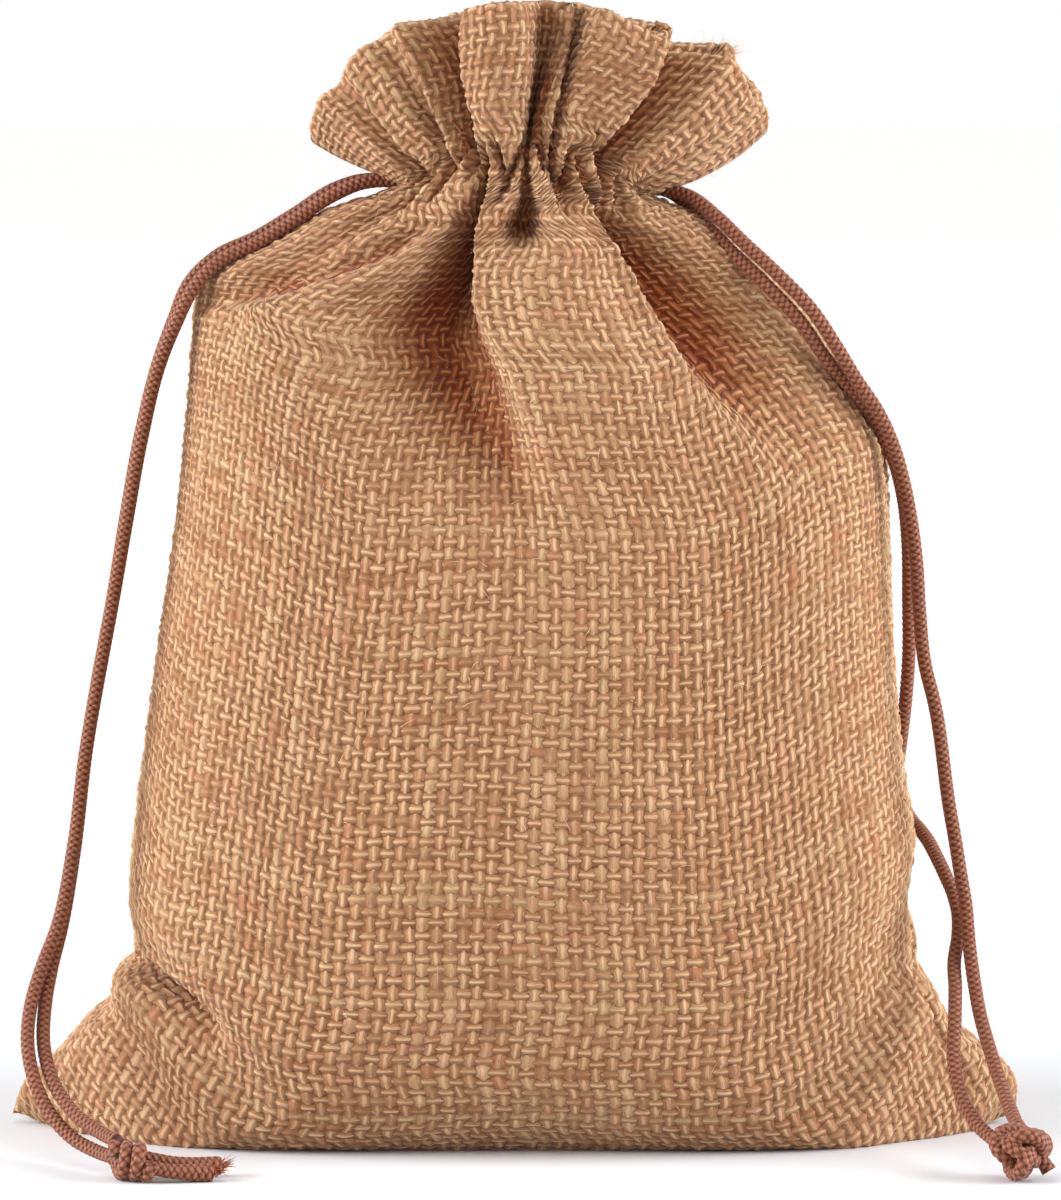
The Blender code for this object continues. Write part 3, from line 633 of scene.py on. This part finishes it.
def sides_along(line):
    """Two vectors square to a line that turn as little as they can."""
    tangent = unit(np.gradient(line, axis=0))
    side = np.cross(tangent[0], (0.3, 0.5, 0.8))
    sides = []
    for t in tangent:
        side = unit(side - t * (side @ t))
        sides.append(side)
    sides = np.array(sides)
    return sides, np.cross(tangent, sides)


def braid_height(p, q):
    """Height (mm) of a braid's facets; p and q are counted in strands."""
    _, _, fp, fq, over = crossing(p, q)
    one = BRAID_SWAY * np.cos(np.pi * fq) * over + BRAID_ROUND * (1 - (2 * fp) ** 2)
    two = -BRAID_SWAY * np.cos(np.pi * fp) * over + BRAID_ROUND * (1 - (2 * fq) ** 2)
    return np.maximum(one, two)


def braided(name, points, radius, swell=0.0):
    """A round braided cord along points (mm); swell widens its far end."""
    line, length = spaced(points, FACET / FACET_STEPS)
    sides, ups = sides_along(line)
    cols = STRANDS * FACET_STEPS
    th, s = np.meshgrid(np.linspace(0, 2 * math.pi, cols + 1), np.linspace(0, length, len(line)))
    p = STRANDS * th / (2 * math.pi) + s / FACET
    q = STRANDS * th / (2 * math.pi) - s / FACET + 400  # stays above 0
    r = (radius - BRAID_ROUND + braid_height(p, q)) * (1 + swell * smooth(0.55, 1.0, s / length))
    shape = (line[:, None] + r[..., None] * (np.cos(th)[..., None] * sides[:, None]
             + np.sin(th)[..., None] * ups[:, None]))
    at = np.arange(len(line) * cols).reshape(-1, cols)
    beside = np.roll(at, -1, axis=1)
    quads = np.stack([at[:-1], beside[:-1], beside[1:], at[1:]], -1).reshape(-1, 4)
    faces = quads.tolist() + [at[0][::-1].tolist(), at[-1].tolist()]
    uv = np.zeros((quads.size + 2 * cols, 2))
    for k, (row, col) in enumerate(((0, 0), (0, 1), (1, 1), (1, 0))):
        here = np.s_[row:len(line) - 1 + row, col:cols + col]
        uv[k:quads.size:4] = np.stack([p[here].ravel(), q[here].ravel()], -1)
    return add_mesh(name, shape[:, :-1].reshape(-1, 3), faces, uv), line, length


def wraps(start, end, radius, turns, tilt, phase):
    """A coil of cord around the line from start to end, its loops tilted."""
    start, way = np.array(start, float), np.array(end, float) - start
    axis = unit(way)
    side = unit(np.cross(axis, (0.0, 0.0, 1.0)))
    up = np.cross(side, axis)
    t = np.linspace(0, 1, int(28 * turns))
    th = phase + 2 * math.pi * turns * t
    snug = radius * (1 - 0.35 * np.clip(1 - np.minimum(t, 1 - t) / 0.06, 0, 1))
    along = t * np.linalg.norm(way) + tilt * np.cos(th)
    return (start + axis * along[:, None] + side * (snug * np.cos(th))[:, None]
            + up * (snug * np.sin(th))[:, None])


def ball_loop(shift):
    """A trefoil wound on the right knot's ball, shifted along the pole."""
    t = math.pi / 3 + np.linspace(0.12, 2 * math.pi - 0.12, 130)
    angle, rise = 2 * t + BALL_SPIN, math.radians(BALL_RISE) * np.sin(3 * t)
    r = BALL_RADIUS + BALL_WAVE * np.cos(3 * t)
    pole = unit(np.array(POLE))
    e = unit(np.cross((0.0, 0.0, 1.0), pole))
    out = (r * np.cos(rise))[:, None]
    up = (r * np.sin(rise) + shift)[:, None]
    round_pole = np.cos(angle)[:, None] * e + np.sin(angle)[:, None] * np.cross(pole, e)
    return np.array(BALL) + out * round_pole + up * pole


def hairs(name, roots, ways, lengths, rng, radius, curl):
    """Fine fibres as three-sided tubes; roots and lengths in mm."""
    segments = 4
    verts, faces = [], []
    for root, way, length in zip(roots, unit(ways), lengths):
        side = unit(np.cross(way, rng.normal(size=3)))
        up = np.cross(way, side)
        bend = curl * rng.normal(size=2)
        first = len(verts)
        for k in range(segments + 1):
            t = k / segments
            p = root + length * (way * t + (side * bend[0] + up * bend[1]) * t * t)
            thin = radius * (1 - 0.75 * t)
            for m in range(3):
                th = 2 * math.pi * m / 3
                verts.append(p + thin * (side * math.cos(th) + up * math.sin(th)))
        last = first + 3 * segments
        for low in range(first, last, 3):
            for m, q in ((0, 1), (1, 2), (2, 0)):
                faces.append((low + m, low + q, low + 3 + q, low + 3 + m))
        faces += [(first + 2, first + 1, first), (last, last + 1, last + 2)]
    return add_mesh(name, verts, faces)


def frayed_ends(name):
    """Short loose fibres that fan out of the cut ends of the left tails."""
    rng = np.random.default_rng(SEED + 80)
    roots, ways, lengths = [], [], []
    for end, way, count in TAIL_ENDS:
        across = rng.normal(size=(count, 3))
        roots.append(np.array(end) + 0.33 * across * (1.0, 1.0, 0.7))
        ways.append(np.array(way) + 0.30 * across)
        lengths.append(rng.uniform(0.5, 1.7, count))
    roots, ways, lengths = map(np.concatenate, (roots, ways, lengths))
    # none of them goes down through the floor
    roots[:, 2] = np.maximum(roots[:, 2], 0.6)
    ways[:, 2] = np.abs(ways[:, 2])
    return hairs(name, roots, ways, lengths, rng, radius=0.07, curl=0.25)


def stray_fibres(side, name, count):
    """Loose fibres that stand off the yarns of a panel."""
    points, normals, _, _, _ = panel(side)
    rng = np.random.default_rng(SEED + 60 + side)
    r = rng.integers(8, points.shape[0] - 3, count)
    c = rng.integers(4, points.shape[1] - 4, count)
    clear = points[r, c, 2] > FIBRES_CLEAR
    r, c = r[clear], c[clear]
    count = len(r)
    across = unit(points[r, c + 1] - points[r, c - 1])
    upward = unit(points[r + 1, c] - points[r - 1, c])
    turn = rng.uniform(0, 2 * math.pi, (count, 1))
    lift = rng.uniform(0.05, 0.55, (count, 1))
    ways = np.cos(turn) * across + np.sin(turn) * upward + lift * normals[r, c]
    roots = points[r, c] + 0.12 * normals[r, c]
    lengths = rng.uniform(0.8, 3.0, count)
    return hairs(name, roots, ways, lengths, rng, radius=0.035, curl=0.35)


def tuft(side, name, middle, spread, count):
    """Loose threads that stand up from a place on the top edge."""
    points, normals, _, _, _ = panel(side)
    rng = np.random.default_rng(SEED + 70 + side)
    c = np.clip(rng.normal(middle, spread, count) * PER, 2, points.shape[1] - 3).astype(int)
    up = unit(points[-1, c] - points[-3, c])
    roots = points[-1, c] + 0.3 * up
    ways = up + rng.normal(0, 0.45, (count, 3)) + 0.2 * normals[-1, c]
    lengths = rng.uniform(0.8, 2.3, count)
    return hairs(name, roots, ways, lengths, rng, radius=0.045, curl=0.45)


# ---- the materials
class Wire:
    """A node's output.  Sums, products and quotients of it are Math nodes."""

    def __init__(self, nodes, socket):
        self.nodes = nodes
        self.socket = socket

    def __add__(self, other):
        return self.nodes.math("ADD", self, other)

    def __sub__(self, other):
        return self.nodes.math("SUBTRACT", self, other)

    def __rsub__(self, other):
        return self.nodes.math("SUBTRACT", other, self)

    def __mul__(self, other):
        return self.nodes.math("MULTIPLY", self, other)

    def __truediv__(self, other):
        return self.nodes.math("DIVIDE", self, other)


def srgb(r, g, b):
    """A colour from 0-255 values to Blender's linear ones."""
    return tuple((c / 255 / 12.92) if c < 11 else ((c / 255 + 0.055) / 1.055) ** 2.4
                 for c in (r, g, b))


class Nodes:
    """Short ways of adding nodes to a new material or world."""

    def __init__(self, owner):
        owner.use_nodes = True
        self.owner = owner
        self.tree = owner.node_tree

    def put(self, sockets, values):
        """Link or set each named or numbered socket of values."""
        for key, value in values.items():
            if isinstance(value, Wire):
                self.tree.links.new(value.socket, sockets[key])
            else:
                sockets[key].default_value = value

    def add(self, kind, values, output=0, **settings):
        """A new node, with its inputs and settings; gives one of its outputs."""
        node = self.tree.nodes.new("ShaderNode" + kind)
        for name, value in settings.items():
            setattr(node, name, value)
        self.put(node.inputs, values)
        return Wire(self, node.outputs[output])

    def surface(self, values):
        """Set the shader's inputs, and give the finished material."""
        self.put(self.tree.nodes["Principled BSDF"].inputs, values)
        return self.owner

    def math(self, operation, *values, clamp=False):
        return self.add("Math", dict(enumerate(values)), operation=operation, use_clamp=clamp)

    def more(self, a, b):
        """1 where a is greater than b, and 0 elsewhere."""
        return self.math("GREATER_THAN", a, b)

    def vector(self, x, y, z=0.0):
        return self.add("CombineXYZ", {0: x, 1: y, 2: z})

    def noise(self, vector, scale, detail=2.0, rough=0.5):
        return self.add("TexNoise", {"Vector": vector, "Scale": scale, "Detail": detail,
                                     "Roughness": rough}, "Fac")

    def white(self, x, y, z):
        """A random number for each whole x, y and z."""
        return self.add("TexWhiteNoise", {"Vector": self.vector(x, y, z)}, "Value",
                        noise_dimensions="3D")

    def counts(self):
        """The two yarn or strand counts of the uv map weave."""
        weave = self.add("UVMap", {}, uv_map="weave")
        return [self.add("SeparateXYZ", {0: weave}, axis) for axis in ("X", "Y")]

    def ramp(self, x, low, high):
        """0 to 1, smoothly, as x goes from low to high."""
        return self.add("MapRange", {0: x, 1: low, 2: high}, interpolation_type="SMOOTHSTEP")

    def mix(self, share, a, b, blend="MIX"):
        """From colour a to colour b by share."""
        a, b = [c if isinstance(c, Wire) else (*c, 1.0) for c in (a, b)]
        return self.add("Mix", {0: share, 6: a, 7: b}, 2, data_type="RGBA", blend_type=blend)

    def layers(self, colour, rows):
        """Colours (0-255) laid over a first one in turn, each by its share."""
        for share, over in rows:
            colour = self.mix(share, colour, srgb(*over))
        return colour

    def bump(self, height, strength):
        """A normal bent by a height in mm."""
        return self.add("Bump", {"Strength": strength, "Distance": MM, "Height": height})

    def crossing(self, u, v):
        """The same as the plain function of that name."""
        i, j = self.math("FLOOR", u), self.math("FLOOR", v)
        odd = self.more(self.math("MODULO", i + j + 1000.0, 2.0), 0.5)
        return i, j, u - i - 0.5, v - j - 0.5, 1.0 - odd * 2.0


def burlap_material():
    n = Nodes(bpy.data.materials.new("burlap_weave"))
    u, v = n.counts()
    i, j, fu, fv, over = n.crossing(u, v)

    def noise(x, y, z=0.0, detail=1.0, rough=0.5):
        return n.noise(n.vector(x, y, z), 1.0, detail, rough)

    def wave(t):
        """The same wave as flat_wave, of pi times t."""
        c = n.math("COSINE", t * math.pi)
        return c * (c * c * -0.5 + 1.5)

    def from_crest(t):
        """The same cross section as peak, with no cusp on the crest."""
        return n.math("SUBTRACT", 1.0, n.math("POWER", t * t + 0.006, 0.70), clamp=True)

    # heights of warp and weft, in mm, with yarns that wander, swell and thin
    fu = fu + (noise(u * 0.6, v * 0.6, 3.0) - 0.5) * 0.30
    fv = fv + (noise(u * 0.6, v * 0.6, 9.0) - 0.5) * 0.30
    slub_w, slub_f = noise(i * 7.31, v * 0.22), noise(u * 0.16, j * 7.31, 4.0)
    pw, pf = from_crest(fu / (slub_w * 0.56 + 0.14)), from_crest(fv / (slub_f * 0.54 + 0.12))
    hw = pw * ROUND + wave(fv) * over * SWAY + 0.02
    hf = pf * ROUND + wave(fu) * over * -SWAY
    top = n.more(hw, hf)

    def pick(a, b):
        """a where the warp is on top, b where the weft is."""
        return top * a + (1.0 - top) * b

    # painted shade: the slit where one yarn dives under the next is painted dark, most above the wefts
    each = n.white(i, j, 1.0)
    above = n.more(pick(fv * -1.0, fv), 0.0)
    slit_shade = n.ramp(n.math("ABSOLUTE", hw - hf), 0.14, 0.0) * (above * 0.80 + 0.20)
    slit_shade = slit_shade * (each * 0.90 + 0.10)
    high = slit_shade * -0.07 + n.math("MAXIMUM", n.math("MAXIMUM", hw, hf), GAP - 0.12)

    crest = n.math("MAXIMUM", pick(pw, pf), 0.0)
    slub = pick(slub_w, slub_f)
    strand = noise(pick(u * 11.0, u * 1.3), pick(v * 1.3, v * 11.0), 2.0, 3.0, 0.65)
    tone = n.white(pick(i, 0.0), pick(0.0, j), pick(5.0, 6.0))
    # painted highlight along the crests of the yarns
    crest_highlight = n.ramp(high, 0.16, 0.42) * n.ramp(crest, 0.66, 0.97) * (each * 0.60 + 0.36)
    band_f, band_w = noise(u * 0.07, j * 5.3, 11.0), noise(i * 5.3, v * 0.05, 15.0)
    broad = noise(u * 0.05, v * 0.10, 8.0, 2.0)
    # painted shade: the lower the weave lies, the darker it is painted, from the body colour down into the
    # gaps between yarns
    colour = n.mix(n.ramp(high, -0.13, 0.085), srgb(104, 60, 31), srgb(142, 95, 57))
    colour = n.layers(colour, [
        # share, colour
        (n.ramp(high, 0.07, 0.31), (172, 124, 83)),             # body
        # painted highlight: the crests are painted paler
        (crest_highlight, (223, 182, 140)),                                # crests
        (n.ramp(each, 0.34, 0.10) * 0.40, (150, 102, 66)),      # dull places
        (n.ramp(slub, 0.56, 0.72) * (crest * -0.30 + 0.60), (170, 96, 62)),     # rusty slubs
        (n.ramp(tone, 0.74, 0.92) * 0.30, (208, 176, 126)),     # straw yarns
        (n.ramp(band_f, 0.56, 0.70) * (crest_highlight * -0.75 + 1.0) * 0.48, (146, 90, 50)),
        (n.ramp(band_w, 0.58, 0.72) * top * 0.35, (226, 186, 144)),
        (n.ramp(strand, 0.48, 0.28) * 0.62, (118, 70, 38)),
        (n.ramp(strand, 0.56, 0.74) * 0.40, (234, 196, 154)),
        (n.ramp(broad, 0.5, 0.75) * 0.18, (170, 108, 72)),      # stains
        # painted shade in the slits
        (slit_shade * 0.88, (92, 50, 22)),
    ])
    # painted shade: where the attribute deep is high, in folds and inside the cloth, the colour is painted
    # darker and redder, as light that bounces about in a fold would make it, and the crests less so
    deep = n.add("Attribute", {}, "Fac", attribute_name="deep")
    fold_shade_colour = n.mix(n.ramp(deep, 0.35, 0.95), srgb(216, 166, 102), srgb(200, 130, 64))
    return n.surface({
        "Base Color": n.mix(deep * (crest_highlight * -0.40 + 1.0), colour, fold_shade_colour, "MULTIPLY"),
        "Roughness": strand * 0.25 + 0.68, "Specular IOR Level": 0.18,
        "Sheen Weight": 0.12, "Sheen Roughness": 0.5,
        "Normal": n.bump(strand * 0.20 + high, 0.75),
    })


def braid_material():
    n = Nodes(bpy.data.materials.new("braid_brown"))
    p, q = n.counts()
    i, j, fp, fq, over = n.crossing(p, q)

    def facet(across, along, sway):
        """Height of one of the two strands that cross, as in braid_height."""
        wave = n.math("COSINE", along * math.pi) * over * sway
        return wave + (1.0 - across * across * 4.0) * BRAID_ROUND

    one, two = facet(fp, fq, BRAID_SWAY), facet(fq, fp, -BRAID_SWAY)
    top = n.more(one, two)
    high = n.math("MAXIMUM", one, two)
    thread = n.noise(n.vector(p * 2.0, q * 2.0), 1.6, 3.0, 0.6)
    ply = n.math("SINE", (top * fp + (1.0 - top) * fq) * 24.0)
    # painted shade down between the facets and a paler painted top on each
    colour = n.mix(n.ramp(high, 0.02, 0.14), srgb(62, 24, 12), srgb(110, 56, 33))
    colour = n.layers(colour, [
        # share, colour
        (n.ramp(high, 0.13, 0.21), (164, 100, 65)),
        (n.white(i, j, 2.0) * 0.30, (108, 48, 26)),
        (n.ramp(thread, 0.5, 0.75) * 0.25, (188, 118, 78)),
    ])
    return n.surface({
        "Base Color": colour, "Roughness": thread * 0.3 + 0.42, "Specular IOR Level": 0.35,
        "Sheen Weight": 0.2, "Sheen Roughness": 0.4, "Normal": n.bump(high + ply * 0.008, 0.8),
    })


def fibre_material(name, dark, pale):
    n = Nodes(bpy.data.materials.new(name))
    grain = n.noise(n.add("TexCoord", {}, "Object"), 900.0)
    return n.surface({"Base Color": n.mix(n.ramp(grain, 0.3, 0.7), dark, pale),
                      "Roughness": grain * 0.2 + 0.6, "Specular IOR Level": 0.2})


def floor_material():
    n = Nodes(bpy.data.materials.new("pale_floor"))
    spot = n.add("TexCoord", {}, "Object")
    grain = n.noise(spot, 6.0, 3.0)
    white = n.mix(grain, (0.83, 0.83, 0.83), (0.87, 0.87, 0.87))
    # bounces back less light than it shows, as a floor with no room around it
    seen = n.add("LightPath", {}, "Is Camera Ray")
    far = n.add("VectorMath", {0: spot}, "Value", operation="LENGTH")
    return n.surface({
        "Base Color": n.mix(seen, (0.60, 0.60, 0.60), white),
        "Emission Color": (1.0, 1.0, 1.0, 1.0), "Emission Strength": n.ramp(far, 0.12, 0.9) * 0.5,
        "Roughness": grain * 0.1 + 0.55, "Specular IOR Level": 0.2,
    })


# ---- the scene
def camera():
    data = bpy.data.cameras.new("camera")
    data.sensor_fit = "VERTICAL"
    data.sensor_height = SENSOR
    data.lens = LENS
    data.clip_start = 0.01
    bpy.context.scene.camera = add_object("camera", data, CAMERA_AT, CAMERA_TO)


def floor():
    r = FLOOR_REACH
    obj = add_mesh("floor", [(-r, -r, 0), (r, -r, 0), (r, r, 0), (-r, r, 0)], [(0, 1, 2, 3)])
    obj.data.materials.append(floor_material())


def light(name, kind, at, target, power):
    data = bpy.data.lights.new(name, kind)
    data.energy = power
    add_object(name, data, at, target)
    return data


def lights():
    for name, at, size, power in LIGHTS:
        area = light(name, "AREA", at, LIGHTS_TO, power)
        area.size = size
        area.color = LIGHT_TINT
    sun = light("overhead", "SUN", SUN_AT, (0.0, 0.0, 0.0), SUN_POWER)
    sun.angle = math.radians(SUN_ACROSS)


def sky():
    """A soft pale sky that the camera sees as plain white."""
    n = Nodes(bpy.data.worlds.new("studio"))
    soft = n.tree.nodes["Background"]
    n.put(soft.inputs, {0: (1.0, 0.995, 0.985, 1.0), 1: SKY})
    seen = n.add("Background", {0: (1.0, 1.0, 1.0, 1.0)})
    ray = n.add("LightPath", {}, "Is Camera Ray")
    both = n.add("MixShader", {0: ray, 1: Wire(n, soft.outputs[0]), 2: seen})
    n.put(n.tree.nodes["World Output"].inputs, {0: both})
    bpy.context.scene.world = n.owner
    bpy.context.scene.view_settings.view_transform = "Standard"


camera()
floor()
lights()
sky()

BURLAP = burlap_material()
BRAID = braid_material()


def dress(obj, mat):
    obj.data.materials.append(mat)
    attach(obj, "root")
    return obj


# the cords
for cord_name, (lead_in, *route) in CORDS.items():
    tube, line, length = braided(cord_name + "_braid", [lead_in] + route, BRAID_WIDE / 2)
    dress(tube, BRAID)
    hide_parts(cord_name)
    [tuple(float(c) for c in p * MM) for p in line]

# the knots and the cord ends beyond them
KNOT_LINES = {
    "knot_left": [
        # name, line, swell of the far end
        ("left_wraps", wraps((-48.9, -41.2, 2.5), (-44.4, -42.9, 2.4), radius=1.58, turns=2.9,
                             tilt=0.9, phase=0.6), 0.0),
        ("left_tail_a", [(-48.6, -39.6, 3.6), (-46.8, -40.9, 3.0), (-44.4, -41.2, 2.6),
                         (-41.6, -40.8, 2.0), (-38.8, -40.1, 1.6), (-35.8, -39.2, 1.4)], 0.30),
        ("left_tail_b", [(-48.9, -39.6, 2.2), (-47.0, -42.0, 2.2), (-44.4, -43.4, 1.9),
                         (-41.4, -43.3, 1.4), (-38.8, -42.9, 1.2), (-36.6, -42.4, 1.15)], 0.32),
    ],
    "knot_right": [
        ("right_loop_a", ball_loop(LOOP_SHIFT), 0.0),
        ("right_loop_b", ball_loop(0.0), 0.0),
        ("right_loop_c", ball_loop(-LOOP_SHIFT), 0.0),
        ("right_core", [(60.3, -42.4, 5.0), (61.3, -44.0, 4.6), (62.5, -44.6, 3.9),
                        (63.7, -44.0, 3.1), (64.5, -42.5, 2.5)], 0.0),
        ("right_lead_a", [(62.6, -37.4, 6.3), (62.8, -38.6, 6.0), (62.9, -40.2, 5.4)], 0.0),
        ("right_lead_b", [(59.9, -36.8, 4.2), (60.8, -38.4, 4.2), (61.8, -40.2, 4.2)], 0.0),
        ("right_end_a", [(63.8, -41.8, 3.4), (65.6, -42.4, 2.2), (66.2, -42.6, 1.3)], 0.10),
    ],
}
for knot_name, lines in KNOT_LINES.items():
    for part_name, line, swell in lines:
        piece, _, _ = braided(part_name, line, BRAID_WIDE / 2, swell)
        dress(piece, BRAID)
        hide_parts(knot_name)
FRAY = fibre_material("cord_fibres", srgb(112, 46, 26), srgb(206, 118, 84))
dress(frayed_ends("cord_fray"), FRAY)

# the cloth
front = dress(cloth(FRONT, "sack_front"), BURLAP)
back = dress(cloth(BACK, "sack_back"), BURLAP)
extra = []
for side, word in ((FRONT, "front"), (BACK, "back")):
    extra.append(dress(hem(side, "hem_" + word), BURLAP))
    extra.append(dress(inside(side, "inside_" + word), BURLAP))
for piece in [front, back] + extra:
    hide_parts("sack_cloth")
JUTE = fibre_material("jute_fibres", srgb(196, 136, 98), srgb(252, 226, 192))
for side, word in ((FRONT, "front"), (BACK, "back")):
    dress(stray_fibres(side, "fibres_" + word, count=520), JUTE)
dress(tuft(BACK, "edge_tuft", middle=0.86 * WARPS, spread=1.6, count=60), JUTE)
